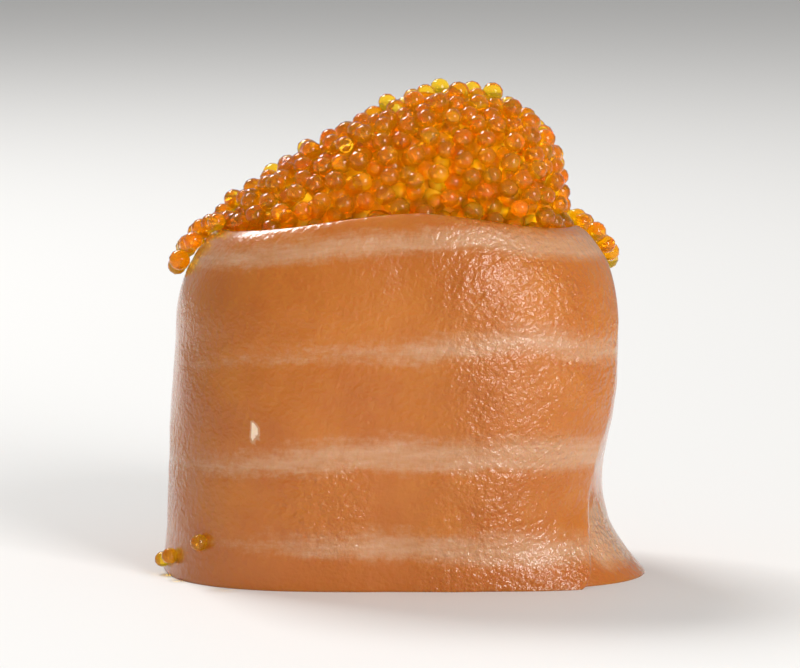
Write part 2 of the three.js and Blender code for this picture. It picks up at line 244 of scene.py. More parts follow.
def along(path, x):
    """Follows a list of points, and stays level before the first and after the last."""
    for (start, low), (end, high) in zip(path, path[1:]):
        if x < end:
            return blend(low, high, min(1, max(0, (x - start) / (end - start))))
    return path[-1][1]


def unevenness(run, height, size, seed=0.0):
    """Smooth noise from about -1 to 1, with lumps of this size."""
    return noise.noise(Vector((run / size, height / size, seed)))


def scuff_at(run, height):
    return swell(run - SCUFF_RUN, SCUFF_HALF_LENGTH) * swell(height - SCUFF_HEIGHT, SCUFF_HALF_HEIGHT)


print("lowest band at the front, in mm:", round(along(FAT_LINES[0]["path"], FRONT_RUN), 1))


# %% How much fat and how crinkled
def fat_and_glint_at(run, height):
    """0.5 on the edge of a band, more inside it and less outside."""
    most = 0
    away = ease(abs(run - FRONT_RUN), FRONT_HALF, AWAY_HALF)  # the front follows its paths more closely
    for line in FAT_LINES:
        waves = math.sin(run / 12 + line["wave"]) + unevenness(run, 0, 7, line["wave"])
        wave = blend(FRONT_WAVE, OTHER_WAVE, away) * waves
        off = height - along(line["path"], run) - wave - 0.3 * unevenness(run, height, 2.4, 4)
        thinned = 1 - THINNING * swell(run - line["thin_at"], THIN_HALF_WIDTH)
        half_width = line["half_width"] * thinned * (1 + 0.35 * unevenness(run, 0, 8, 7 + line["wave"]))
        softness = FAT_SOFTNESS * (SOFTER_ABOVE if off > 0 else HARDER_BELOW)
        level = 0.5 + (half_width - abs(off)) / (2 * softness)
        most = max(most, min(1, level) * along(line["strength"], run) * (0.6 + 0.4 * thinned))
    rubbed = scuff_at(run, height) * (1.5 + 1.1 * unevenness(run, height / 3, 1.1, 12))
    # Above 1 the level marks a small raised bump whose near-white colour is a painted highlight.
    off_glint = math.hypot((run - GLINT_RUN) / GLINT_SIZE[0], (height - GLINT_HEIGHT) / GLINT_SIZE[1])
    return max(0, most, min(1.05, rubbed), GLINT_LEVEL * ease(1.2 - off_glint, 0, 0.5))


def crinkle_at(run, height):
    """How much the slice's surface is crinkled here, where it was pressed and dried a little."""
    front = swell(run - CRINKLE_RUN, CRINKLE_HALF_LENGTH) * (0.7 + 0.5 * unevenness(run, height, 5, 17))
    elsewhere = 0.7 * ease(unevenness(run, height, 16, 31), 0.05, 0.5)
    return max(front, elsewhere, 1.5 * scuff_at(run, height))


# %% Marking the slab
MAP_UNIT = 100  # millimetres to one unit of the flat map

fat_and_glint_layer = slab.verts.layers.float.new("fat_and_glint")
crinkle_layer = slab.verts.layers.float.new("crinkle")
flat_map = slab.loops.layers.uv.new("flat")
for face in slab.faces:
    for corner in face.loops:
        corner[flat_map].uv = (corner.vert.co.x / MAP_UNIT, corner.vert.co.z / MAP_UNIT)
for point in slab.verts:
    point[fat_and_glint_layer] = fat_and_glint_at(point.co.x, point.co.z)
    point[crinkle_layer] = crinkle_at(point.co.x, point.co.z)
print("points in fat:", sum(point[fat_and_glint_layer] > 0.5 for point in slab.verts))

# %% [markdown]
# ## Wrapping the slice
# A lattice or a curve modifier could bend the slab, but the belt thins at its ends, laps over itself at the
# right corner, leans in at the shoulder and flares out at one foot. So each point is moved by the cook's
# own measures: how far round the body it lies, how far up the side, and how deep in the slice.

# %% The lap and the flare
END_SLANT, END_SLANT_CURVE = math.radians(24), 0.6
END_TAPER = math.radians(26)
END_LIFT, LAYER_GAP = 0.9, 0.2
LIFT_FROM = math.radians(270)
FLARE_ANGLE, FLARE_HALF_WIDTH = math.radians(-16), math.radians(44)
FLARE_HEIGHT, FLARE_REACH = 10, 5.4


def thickness_at(distance_from_end):
    return blend(SLICE_END_THICKNESS, SLICE_THICKNESS, ease(distance_from_end, 0, END_TAPER))


def lift_at(angle):
    return END_LIFT * ease(angle, LIFT_FROM, SLICE_END)


def slice_station(angle):
    """How thick the slice is here, and how far its outer face lies outside the skin."""
    thickness = min(thickness_at(angle - SLICE_START), thickness_at(SLICE_END - angle))
    if angle > math.radians(90):
        return thickness, lift_at(angle)
    lapping = min(angle + FULL_TURN, SLICE_END)  # the first stretch lies pressed in under the lap
    pressed = lift_at(lapping) - thickness_at(SLICE_END - lapping) - LAYER_GAP
    freed = ease(angle, SLICE_END + END_SLANT - FULL_TURN, math.radians(24))
    return thickness, pressed * (1 - freed)


def flare_at(angle, height):
    round_share = swell(turn_between(FLARE_ANGLE, angle), FLARE_HALF_WIDTH)
    return FLARE_REACH * round_share * max(0, 1 - height / FLARE_HEIGHT) ** 2


print("outer face at the flare, in mm:", round(flare_at(FLARE_ANGLE, 0), 1), "out, and at the end:",
      round(lift_at(SLICE_END), 1))

# %% Bending it round
FAT_SINK, GLINT_RISE = 0.1, 0.25
SLANT_FROM = math.radians(30)  # how far before its end the slice starts to slant


def climb_at(height):
    """The climb at a height of the flat slice. The wall is the lower half of it."""
    if height < WALL_HEIGHT:
        return height / WALL_HEIGHT / 2
    return min(1, 0.5 + (height - WALL_HEIGHT) / SHOULDER_ARC / 2)


def wrapped(run, depth, height, fat_and_glint):
    """Where a point of the flat slice comes to lie round the body."""
    angle = blend(SLICE_START, SLICE_END, run / SLICE_LENGTH)
    thickness, outward = slice_station(angle)
    near_end = ease(angle, SLICE_END - SLANT_FROM, SLICE_END)
    climb = climb_at(height)
    place = angle + near_end * END_SLANT * climb ** END_SLANT_CURVE
    normal = skin_normal(place, climb)
    middle = skin_point(place, climb)
    out = outward + flare_at(place, middle.z) - thickness / 2 - depth / SLICE_THICKNESS * thickness
    outer_face = ease(-depth, 0, SLICE_THICKNESS / 2)
    relief = 0.12 * unevenness(run, height, 7, 3) + 0.05 * unevenness(run, height, 2.5, 9)
    relief -= FAT_SINK * ease(min(fat_and_glint, 1), 0.2, 0.8) - GLINT_RISE * max(0, fat_and_glint - 1)
    middle += normal * (out + outer_face * relief)
    past_rim = max(0, height - WALL_HEIGHT - SHOULDER_ARC)
    if past_rim:
        upward = (skin_point(place, 1) - skin_point(place, 0.97)).normalized()
        middle += upward * past_rim
    return middle


for point in slab.verts:
    run, depth, height = point.co
    point.co = wrapped(run, depth, height, point[fat_and_glint_layer])
low = Vector(min(point.co[axis] for point in slab.verts) for axis in range(3))
high = Vector(max(point.co[axis] for point in slab.verts) for axis in range(3))
print("wrapped slice, in mm:", [round(side, 1) for side in high - low])

# %% [markdown]
# ## Into the frame
# The frame has the middle of the footprint at its origin, and the flare and the lean put the body's own
# middle a little to one side of that. Every piece could be measured for this again, but they are all built
# on one skin, so the shift is found once, from the slice, and goes for all. It moves the mesh and not the
# object, because a pattern that is laid on object coordinates must not slide.

# %% Finishing a piece
cad_low, cad_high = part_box("salmon_slice")
body_shift = Vector((cad_high.x / MM - high.x, cad_low.y / MM - low.y, 0))
print("body's middle stands off by, in mm:", [round(x, 2) for x in body_shift])


def finished_piece(name, shape, stands_for):
    """Turns a shape in millimetres into a piece of the sushi at its place in the frame."""
    bmesh.ops.translate(shape, vec=body_shift, verts=shape.verts)
    bmesh.ops.scale(shape, vec=(MM, MM, MM), verts=shape.verts)
    for face in shape.faces:
        face.smooth = True
    mesh = bpy.data.meshes.new(name)
    shape.to_mesh(mesh)
    made = bpy.data.objects.new(name, mesh)
    bpy.context.scene.collection.objects.link(made)
    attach(made, "root")
    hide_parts(stands_for)
    triangles = sum(len(face.vertices) - 2 for face in mesh.polygons)
    print(name, len(mesh.vertices), "points,", triangles, "triangles")
    return made


# %% [markdown]
# The slice's surface is kept as well, to measure from when the eggs are laid. Bevels and cuts don't leave
# the corners and faces in the same order every time, and that alone could let an egg fall otherwise. So
# they are put in one order first. The points were moved one by one, so each face still has the direction
# that it had in the flat slab, and the eggs are told their side of the slice by that.

# %% The slice as a piece and as a surface
def surface_of(shape):
    """A shape's surface in a fixed order, and the direction of each of its faces."""
    shape.verts.index_update()
    faces = []
    for face in shape.faces:
        corners = [corner.index for corner in face.verts]
        first = corners.index(max(corners))
        faces.append((corners[first:] + corners[:first], face.normal.copy()))
    faces.sort(key=lambda face: face[0])
    places = [point.co.copy() for point in shape.verts]
    return BVHTree.FromPolygons(places, [corners for corners, _ in faces]), [way for _, way in faces]


slice_surface, flat_directions = surface_of(slab)
salmon_belt = finished_piece("salmon_belt", slab, "salmon_slice")

# %% [markdown]
# ## Finishes: salmon
# Raw salmon is wet and lets light some way in, so it has no hard shadows inside it: that is subsurface
# scattering, with red light travelling furthest. A thin coat gives the water on it. The attribute for fat
# mixes the pale colour in, and above 1 a near-white fleck that is a painted highlight. Three sizes of noise
# give it the clouding of the flesh, the fibres that run across the fat lines and the fine pebbled skin that
# catches the light.

# %% Helpers for materials
def new_finish(name):
    finish = bpy.data.materials.new(name)
    finish.use_nodes = True
    tree = finish.node_tree
    return finish, tree, tree.nodes["Principled BSDF"]


def node(tree, kind, links=(), **settings):
    """A new node with its settings, and with its inputs linked to sockets or set to values."""
    made = tree.nodes.new(kind)
    for setting, value in settings.items():
        setattr(made, setting, value)
    for socket, source in dict(links).items():
        if isinstance(source, bpy.types.NodeSocket):
            tree.links.new(source, made.inputs[socket])
        else:
            made.inputs[socket].default_value = source
    return made


def set_shader(shader, **values):
    for socket, value in values.items():
        shader.inputs[socket.replace("_", " ")].default_value = value


def colour_mix(tree, share, low, high):
    made = node(tree, "ShaderNodeMix", data_type="RGBA")
    for socket, source in ((made.inputs[0], share), (made.inputs[6], low), (made.inputs[7], high)):
        if isinstance(source, bpy.types.NodeSocket):
            tree.links.new(source, socket)
        else:
            socket.default_value = source
    return made.outputs[2]


# %% Patterns and relief
def noise_of(tree, place, scale, detail, roughness=0.5, distortion=0.0):
    made = node(tree, "ShaderNodeTexNoise", {"Vector": place, "Scale": scale, "Detail": detail,
                                             "Roughness": roughness, "Distortion": distortion})
    return made.outputs["Fac"]


def stretched(tree, value, low, high, **settings):
    """Stretches the range from low to high over 0 to 1."""
    span = {"Value": value, "From Min": low, "From Max": high}
    return node(tree, "ShaderNodeMapRange", span, **settings).outputs["Result"]


def scaled(tree, value, factor, added=None):
    """A value times a factor, with something added to it if that is given."""
    if added is None:
        return node(tree, "ShaderNodeMath", {0: value, 1: factor}, operation="MULTIPLY").outputs[0]
    terms = {0: value, 1: factor, 2: added}
    return node(tree, "ShaderNodeMath", terms, operation="MULTIPLY_ADD").outputs[0]


def bump(tree, height, strength, distance, over=None):
    """A relief, over another one if there is one."""
    made = node(tree, "ShaderNodeBump", {"Height": height, "Strength": strength, "Distance": distance})
    if over:
        tree.links.new(over, made.inputs["Normal"])
    return made.outputs["Normal"]


# %% Salmon colour
FLESH = (0.5, 0.158, 0.01, 1)
FLESH_DEEP = (0.43, 0.115, 0.005, 1)
FAT = (0.5, 0.235, 0.1, 1)
FAT_PALE = (0.56, 0.3, 0.16, 1)
# The colour of the small raised bump: near-white, a painted highlight.
PAINTED_GLINT = (0.8, 0.62, 0.45, 1)


def salmon_colour(tree, place, flat, fat_and_glint):
    """Clouded flesh, streaked fat over it, and a near-white fleck that is a painted highlight. Gives the
    colour and the clouds.
    """
    clouds = noise_of(tree, place, 150, detail=4, roughness=0.6)
    height = node(tree, "ShaderNodeSeparateXYZ", {"Vector": flat}).outputs["Y"]
    deepened = scaled(tree, stretched(tree, clouds, 0.3, 0.7), stretched(tree, height, 0.01, 0.06))
    flesh = colour_mix(tree, deepened, FLESH_DEEP, FLESH)
    drawn_out = node(tree, "ShaderNodeMapping", {"Vector": flat, "Scale": (0.22, 1, 1)})
    streaks = noise_of(tree, drawn_out.outputs["Vector"], 130, detail=4, roughness=0.6)
    pale = colour_mix(tree, stretched(tree, streaks, 0.38, 0.72), FAT, FAT_PALE)
    wisps = noise_of(tree, place, 1500, detail=4, roughness=0.7)
    ragged = scaled(tree, wisps, 0.6, added=scaled(tree, streaks, 0.4, added=fat_and_glint))
    share = stretched(tree, ragged, 0.74, 1.36, interpolation_type="SMOOTHSTEP")
    banded = colour_mix(tree, share, flesh, pale)
    return colour_mix(tree, stretched(tree, fat_and_glint, 1.1, 1.4), banded, PAINTED_GLINT), clouds


# %% Salmon relief
FIBRE_SLANT, RIDGE_SLANT = math.radians(-14), math.radians(-42)


def turned_and_drawn(tree, place, slant, length):
    """Coordinates that draw a pattern out along a slanting line."""
    drawn = {"Vector": place, "Scale": (1, length, 1), "Rotation": (0, 0, slant)}
    return node(tree, "ShaderNodeMapping", drawn, vector_type="TEXTURE").outputs["Vector"]


def salmon_relief(tree, place, flat, crinkle):
    """Fibres across the whole slice, fine pebbles, and slanting ridges where it is crinkled."""
    fibres = noise_of(tree, turned_and_drawn(tree, flat, FIBRE_SLANT, 5), 130, detail=3)
    fibre_bump = bump(tree, fibres, strength=0.2, distance=0.0003)
    ridges = noise_of(tree, turned_and_drawn(tree, flat, RIDGE_SLANT, 3), 95, detail=3, distortion=0.4)
    ridge_bump = bump(tree, scaled(tree, ridges, crinkle), strength=0.6, distance=0.0007, over=fibre_bump)
    pebbles = noise_of(tree, place, 1700, detail=2)
    pebble_height = scaled(tree, pebbles, scaled(tree, crinkle, 1.6, added=0.5))
    return bump(tree, pebble_height, strength=1.0, distance=0.0002, over=ridge_bump)


# %% Salmon finish
SALMON_GLOSS, SALMON_DULL = 0.3, 0.44


def salmon_finish():
    finish, tree, shader = new_finish("raw_salmon")
    place = node(tree, "ShaderNodeTexCoord").outputs["Object"]
    flat = node(tree, "ShaderNodeUVMap", uv_map="flat").outputs["UV"]
    fat_and_glint = node(tree, "ShaderNodeAttribute", attribute_name="fat_and_glint").outputs["Fac"]
    crinkle = node(tree, "ShaderNodeAttribute", attribute_name="crinkle").outputs["Fac"]
    colour, clouds = salmon_colour(tree, place, flat, fat_and_glint)
    relief = salmon_relief(tree, place, flat, crinkle)
    tree.links.new(colour, shader.inputs["Base Color"])
    tree.links.new(relief, shader.inputs["Normal"])
    tree.links.new(relief, shader.inputs["Coat Normal"])  # the water follows the flesh
    shine = {"Value": clouds, "To Min": SALMON_GLOSS, "To Max": SALMON_DULL}
    roughness = node(tree, "ShaderNodeMapRange", shine).outputs["Result"]
    tree.links.new(roughness, shader.inputs["Roughness"])
    set_shader(shader, IOR=1.38, Subsurface_Weight=0.7, Subsurface_Radius=(1, 0.35, 0.15),
               Subsurface_Scale=0.0016, Coat_Weight=1.0, Coat_Roughness=0.12, Coat_IOR=1.36)
    return finish


salmon_belt.data.materials.append(salmon_finish())
print("salmon finish:", len(salmon_belt.data.materials[0].node_tree.nodes), "nodes")

# %% [markdown]
# ## The heap of roe
# The heap could be one lump with a bumpy texture, but its outline is made of eggs, and light passes through
# them one by one. So every egg is a ball of its own. They are dropped in at random and one is kept only
# where it has room, which packs them as a spoon does. The heap's own surface says how high they lie.

# %% The heap's surface
HEAP_BASE, HEAP_HEIGHT, HEAP_PEAK_X = 34.6, 15.4, 5
HEAP_RIGHT_RUN, HEAP_RIGHT_FULLNESS = 13, 2.6  # steep to the right of the peak
HEAP_LEFT_RUN, HEAP_LEFT_CURVE = 26.5, 1.5  # and a long slope to the left
HEAP_HALF_DEPTH, HEAP_SIDE_FULLNESS = 12.8, 2.3
HEAP_HALF_LENGTH, HEAP_END_FULLNESS = 23.5, 3
LUMP_HEIGHT, SMALL_LUMP_HEIGHT = 0.8, 0.4


def dome(distance, reach, fullness):
    """1 in the middle and 0 at the reach. The larger the fullness, the boxier the curve between them."""
    return max(0, 1 - abs(distance / reach) ** fullness) ** (1 / fullness)


def heap_height(x, y):
    from_peak = x - HEAP_PEAK_X
    if from_peak > 0:
        ridge = dome(from_peak, HEAP_RIGHT_RUN, HEAP_RIGHT_FULLNESS)
    else:
        ridge = max(0, 1 - (-from_peak / HEAP_LEFT_RUN) ** HEAP_LEFT_CURVE)
    half_depth = HEAP_HALF_DEPTH * dome(x, HEAP_HALF_LENGTH, HEAP_END_FULLNESS)
    across = dome(y, half_depth, HEAP_SIDE_FULLNESS) if half_depth > 0 else 0
    lumps = (LUMP_HEIGHT * math.sin(0.72 * x + 1.5) * math.cos(0.5 * y)
             + SMALL_LUMP_HEIGHT * math.sin(0.9 * y - 0.5 * x))
    return HEAP_BASE + HEAP_HEIGHT * ridge * across + lumps * across


def heap_normal(x, y, reach=0.05):
    slope_x = (heap_height(x + reach, y) - heap_height(x - reach, y)) / (2 * reach)
    slope_y = (heap_height(x, y + reach) - heap_height(x, y - reach)) / (2 * reach)
    return Vector((-slope_x, -slope_y, 1)).normalized()


print("heap above the rim, in mm:", round(heap_height(HEAP_PEAK_X, 0) - HEAP_BASE, 1))

# %% Ways out of the heap
# The surface is seen from a line inside the heap, which runs between these two places along X.
HEAP_LEFT_START, HEAP_RIGHT_START = -17, 13


def heap_exit(start, direction):
    """Where a straight line from the inside of the heap comes out of its surface."""
    near, far = 0, 40
    while far - near > 0.01:
        reach = (near + far) / 2
        point = start + direction * reach
        if point.z < heap_height(point.x, point.y):
            near = reach
        else:
            far = reach
    return start + direction * near


def rim_middle(angle):
    return skin_point(angle, 1) - skin_normal(angle, 1) * (SLICE_THICKNESS / 2)


print("rim at the front, in mm:", [round(x, 1) for x in rim_middle(math.radians(270))])


# %% A tray for the eggs
class Tray:
    """Eggs by place, so that a newcomer is compared only with those near it."""

    def __init__(self, cell=2.6):
        self.cell, self.cells, self.eggs = cell, {}, []

    def near(self, centre):
        x, y, z = (math.floor(c / self.cell) for c in centre)
        for i in (x - 1, x, x + 1):
            for j in (y - 1, y, y + 1):
                for k in (z - 1, z, z + 1):
                    yield from self.cells.get((i, j, k), ())

    def has_room(self, centre, spacing):
        return all((other - centre).length > spacing for other in self.near(centre))

    def lay(self, centre, size, yaw, tilt):
        key = tuple(math.floor(c / self.cell) for c in centre)
        self.cells.setdefault(key, []).append(centre)
        self.eggs.append((centre, size, yaw, tilt))


# %% Dropping the eggs
ROE_DIAMETER, ROE_SPREAD = 2.15, 0.16
DROPPED_CLEARANCE, CLEARANCE = 0.4, 0.42  # from an egg's middle to the slice, in its own sizes


def random_egg(throw, centre):
    size = ROE_DIAMETER * (1 + ROE_SPREAD * (throw() - 0.5))
    return centre, size, FULL_TURN * throw(), math.pi * throw()


def clear_of_slice(centre, least):
    """Whether a place is far from the slice, on the side to which its nearest face looked when flat."""
    spot, _, face, distance = slice_surface.find_nearest(centre)
    return distance > least and (centre - spot).dot(flat_directions[face]) > 0


def drop_on_heap(tray, seed, tries, spacing, depth_shares):
    """Throws eggs at the heap from inside it, and keeps those that find room."""
    throw = dice(seed)
    for _ in range(tries):
        start = Vector((blend(HEAP_LEFT_START, HEAP_RIGHT_START, throw()), 0, HEAP_BASE))
        yaw, pitch = FULL_TURN * throw(), math.asin(throw())
        level = math.cos(pitch)
        out = heap_exit(start, Vector((level * math.cos(yaw), level * math.sin(yaw), math.sin(pitch))))
        rim = rim_middle(math.atan2(out.y, out.x))
        inside = math.hypot(out.x, out.y) < math.hypot(rim.x, rim.y)
        depth = ROE_DIAMETER * blend(*depth_shares, throw())
        centre = out - heap_normal(out.x, out.y) * depth
        if not inside or centre.z <= HEAP_BASE:
            continue
        egg = random_egg(throw, centre)
        if tray.has_room(centre, spacing) and clear_of_slice(centre, egg[1] * DROPPED_CLEARANCE):
            tray.lay(*egg)


heap_eggs = Tray()
drop_on_heap(heap_eggs, seed=7, tries=9000, spacing=ROE_DIAMETER * 1.08,
             depth_shares=(0.3825, 0.5175))
print("eggs dropped on the heap:", len(heap_eggs.eggs))

# %% [markdown]
# Straight lines from the middle reach the top of the heap far more often than its steep ends. So the gaps
# are filled from a shell instead: the heap's surface as a mesh, from which points are drawn by area.

# %% A shell of the heap
def heap_shell(depth):
    """The heap's surface, or one that lies evenly below it, as a closed mesh."""
    shell = bmesh.new()
    bmesh.ops.create_icosphere(shell, subdivisions=4, radius=1)
    for point in shell.verts:
        outward, underneath = point.co.copy(), point.co.z < 0.04
        outward.z = max(0.05, outward.z)
        start = Vector((blend(HEAP_LEFT_START, HEAP_RIGHT_START, (1 + outward.x) / 2), 0, HEAP_BASE))
        out = heap_exit(start, outward.normalized())
        inner = out - heap_normal(out.x, out.y) * depth
        if underneath:
            inner = start.lerp(Vector((inner.x, inner.y, HEAP_BASE)), 0.9 * math.hypot(outward.x, outward.y))
            inner.z += 4 * min(0, point.co.z)
        point.co = inner
    bmesh.ops.smooth_vert(shell, verts=shell.verts, factor=0.5,
                          use_axis_x=True, use_axis_y=True, use_axis_z=True)
    bmesh.ops.recalc_face_normals(shell, faces=shell.faces)
    return shell


outside = heap_shell(0)
print("shell:", len(outside.faces), "faces")


# %% Drawing places from the shell
def fill_from_shell(tray, shell, seed, spacing, depth_shares, overhang):
    """Fills gaps at this depth under the shell, no further past the rim than the overhang."""
    faces = [(face.calc_area(), face.normal.copy(), [v.co.copy() for v in face.verts])
             for face in shell.faces if face.calc_center_median().z > HEAP_BASE]
    total, reached = 0, []
    for area, _, _ in faces:
        total += area
        reached.append(total)
    throw = dice(seed)
    for _ in range(12000):
        _, normal, (a, b, c) = faces[bisect_left(reached, throw() * total)]
        u, v = throw(), throw()
        if u + v > 1:
            u, v = 1 - u, 1 - v
        centre = a + (b - a) * u + (c - a) * v - normal * ROE_DIAMETER * blend(*depth_shares, throw())
        egg = random_egg(throw, centre)
        if not tray.has_room(centre, spacing) or not clear_of_slice(centre, egg[1] * CLEARANCE):
            continue
        rim = rim_middle(math.atan2(centre.y, centre.x))
        if math.hypot(centre.x, centre.y) - math.hypot(rim.x, rim.y) < overhang:
            tray.lay(*egg)


# %% Along the rim
TRENCH_START, TRENCH_WIDTH = 1, 3.2  # inwards from the middle of the slice's edge
TRENCH_TOP, TRENCH_DEPTH = 0.5, 1.4  # above that edge, and downwards from there


def fill_along_rim(tray, seed, spacing):
    """Fills the trench between the heap and the slice, all round."""
    throw = dice(seed)
    for _ in range(5000):
        angle = FULL_TURN * throw()
        inwards, sunk = TRENCH_START + TRENCH_WIDTH * throw(), TRENCH_DEPTH * throw() - TRENCH_TOP
        rim = rim_middle(angle)
        centre = rim - Vector((math.cos(angle), math.sin(angle), 0)) * inwards
        centre.z = min(rim.z - sunk, heap_height(centre.x, centre.y) + ROE_DIAMETER)
        egg = random_egg(throw, centre)
        if tray.has_room(centre, spacing) and clear_of_slice(centre, egg[1] * CLEARANCE):
            tray.lay(*egg)


# %% Filling the gaps, from the outside inwards
OUTER_SPACING, RIM_SPACING, INNER_SPACING = ROE_DIAMETER * 0.85, ROE_DIAMETER * 0.86, ROE_DIAMETER * 0.8

fill_from_shell(heap_eggs, outside, 19, OUTER_SPACING, depth_shares=(0.4, 0.6), overhang=0.8)
print("eggs with the gaps filled:", len(heap_eggs.eggs))
fill_along_rim(heap_eggs, 29, RIM_SPACING)
print("eggs with those along the rim:", len(heap_eggs.eggs))
fill_from_shell(heap_eggs, outside, 23, INNER_SPACING, depth_shares=(0.85, 1.3), overhang=0)
eggs_that_show = len(heap_eggs.eggs)
fill_from_shell(heap_eggs, outside, 37, INNER_SPACING, depth_shares=(1.45, 1.8), overhang=-1)
outside.free()
deepest = heap_eggs.eggs[eggs_that_show:]
del heap_eggs.eggs[eggs_that_show:]
print("eggs with the second layer:", eggs_that_show, "and deeper:", len(deepest))

# %% [markdown]
# Some eggs have rolled over the rim at both ends and cling to the shoulder, and three more have stuck to
# the slice near its foot.

# %% Spilled eggs
SPILLS = [
    dict(seed=3, angle=math.radians(184), half_width=math.radians(17), low=0.72),
    dict(seed=5, angle=math.radians(14), half_width=math.radians(14), low=0.74),
]
SPILL_SPACING = 0.9


def drop_on_shoulder(tray, seed, angle, half_width, low):
    """Lays eggs on the slice's shoulder, more widely spread near the rim, and over the rim into the heap."""
    throw = dice(seed)
    for _ in range(900):
        climb = blend(low, 1.2, throw())
        past = 2 * throw() if climb > 1 else 0
        climb = min(1, climb)
        spread = half_width * blend(0.45, 1, (climb - low) / (1 - low))
        place = angle + spread * (2 * throw() - 1)
        normal = skin_normal(place, climb).lerp(Vector((0, 0, 1)), min(1, past)).normalized()
        inwards = Vector((-math.cos(place), -math.sin(place), 0))
        centre = skin_point(place, climb) + inwards * past + normal * (ROE_DIAMETER * 0.5)
        egg = random_egg(throw, centre)
        if tray.has_room(centre, ROE_DIAMETER * SPILL_SPACING):
            tray.lay(*egg)


for spill in SPILLS:
    drop_on_shoulder(heap_eggs, **spill)
print("eggs with the spilled ones:", len(heap_eggs.eggs))

# %% [markdown]
# ## The shape of an egg
# An egg is a ball with a soft skin, pressed a little out of round by its neighbours. There are hundreds, so
# each is an icosphere with few faces and smooth shading. Each egg also carries one random number, its tone,
# which its material reads, so that no two neighbours are quite alike.

# %% One egg and a cluster
SQUASH = Matrix.Diagonal((1, 0.97, 0.93, 1))


def add_egg(shape, tone_layer, centre, size, yaw, tilt):
    turn = Matrix.Rotation(yaw, 4, "Z") @ Matrix.Rotation(tilt, 4, "X")
    made = bmesh.ops.create_icosphere(shape, subdivisions=2, radius=size / 2,
                                      matrix=Matrix.Translation(centre) @ turn @ SQUASH)
    tone = yaw / FULL_TURN
    for point in made["verts"]:
        point[tone_layer] = tone


def egg_cluster(eggs):
    shape = bmesh.new()
    tone_layer = shape.verts.layers.float.new("tone")
    for egg in eggs:
        add_egg(shape, tone_layer, *egg)
    return shape


roe_eggs = finished_piece("roe_eggs", egg_cluster(heap_eggs.eggs), "roe_heap")

# %% [markdown]
# Clear eggs show what lies behind them, and in a real heap that is more roe, never a hollow. Eggs could fill
# the heap to its middle, but nobody would see most of them. So the inside is a core: the shell once more,
# deeper down, with the deepest eggs on it, and a bed that fills the slice from the rice up to just under the
# rim. The bed and the rice are both blocks stacked up from rings, so one function makes them.

# %% The room inside the slice
INNER_INSET, LAP_INSET = 2.65, 1.9
LAP_MIDDLE, LAP_HALF_WIDTH = math.radians(-34), math.radians(66)
RICE_TOP = 29.2


def inner_edge(angle, climb):
    """The room that the slice leaves inside, less a little where it lies double."""
    inset = INNER_INSET + LAP_INSET * swell(turn_between(LAP_MIDDLE, angle), LAP_HALF_WIDTH)
    return skin_point(angle, climb) - skin_normal(angle, climb) * inset


def grown_ring(shape, edges):
    """Extrudes a ring of edges, and gives the new ring's edges and points."""
    grown = bmesh.ops.extrude_edge_only(shape, edges=edges)["geom"]
    points = [part for part in grown if isinstance(part, bmesh.types.BMVert)]
    ring = [part for part in grown
            if isinstance(part, bmesh.types.BMEdge) and all(v in points for v in part.verts)]
    return ring, points


def stacked_block(foot_climb, foot_height, rings, flat_top=None):
    """A closed block inside the slice, from rings that each have a climb and a share of the room."""
    block = bmesh.new()
    bmesh.ops.create_circle(block, cap_ends=True, segments=72, radius=1)
    for point in block.verts:
        point.co = inner_edge(math.atan2(point.co.y, point.co.x), foot_climb)
        point.co.z = foot_height
    edges = list(block.edges)
    for climb, share in rings:
        edges, points = grown_ring(block, edges)
        for point in points:
            edge = inner_edge(math.atan2(point.co.y, point.co.x), climb)
            height = edge.z if flat_top is None or share == 1 else flat_top
            point.co = (edge.x * share, edge.y * share, height)
    bmesh.ops.contextual_create(block, geom=edges)
    bmesh.ops.recalc_face_normals(block, faces=block.faces)
    return block


print("room at the foot's front, in mm:", [round(x, 1) for x in inner_edge(math.radians(270), 0)])

# %% Core and bed
CORE_DEPTH = ROE_DIAMETER * 1.75
BED_GAP = 0.3  # over the rice
BED_RINGS = [(0.62, 1), (0.7, 1), (0.79, 1), (0.8, 0.96), (0.8, 0.6)]

core = heap_shell(CORE_DEPTH)
bed_mesh = bpy.data.meshes.new("bed")
stacked_block(BED_RINGS[0][0], RICE_TOP + BED_GAP, BED_RINGS).to_mesh(bed_mesh)
core.from_mesh(bed_mesh)
bpy.data.meshes.remove(bed_mesh)
core_tone = core.verts.layers.float.new("tone")
for egg in deepest:
    add_egg(core, core_tone, *egg)
roe_core = finished_piece("roe_core", core, "roe_heap")

# %% Stray eggs
# Each has its angle round the body, its height and its size.
STRAY_EGGS = [(math.radians(216), 4.4, 1.9), (math.radians(203), 2.3, 1.8), (math.radians(196), 1.5, 1.7)]
STRAY_LIFT = 0.3  # from the skin to an egg's middle, in its own sizes: it sinks in a little

stray = []
for angle, height, size in STRAY_EGGS:
    climb = height / by_side(angle, **SHOULDER_HEIGHT) / 2
    centre = skin_point(angle, climb) + skin_normal(angle, climb) * (size * STRAY_LIFT)
    stray.append((centre, size, angle, height))
stray_roe = finished_piece("stray_roe", egg_cluster(stray), "salmon_slice")

# %% [markdown]
# ## Finishes: roe
# An egg is a drop of clear oil and water in a thin skin, so most of its light comes through it, bent only a
# little, and some is scattered inside. Glass could give the first, but it would leave the eggs too dark and
# too hard. Here one shader has both: transmission with a low index, and short scattering under a wet coat.
# The roe deeper down lets nothing through, and gives the clear eggs their colour from behind.

# %% Roe finish
ROE_DEEP, ROE_BRIGHT = (1.0, 0.56, 0.014, 1), (1.0, 0.66, 0.024, 1)
CORE_DEEP, CORE_BRIGHT = (1.0, 0.45, 0.012, 1), (1.0, 0.55, 0.018, 1)


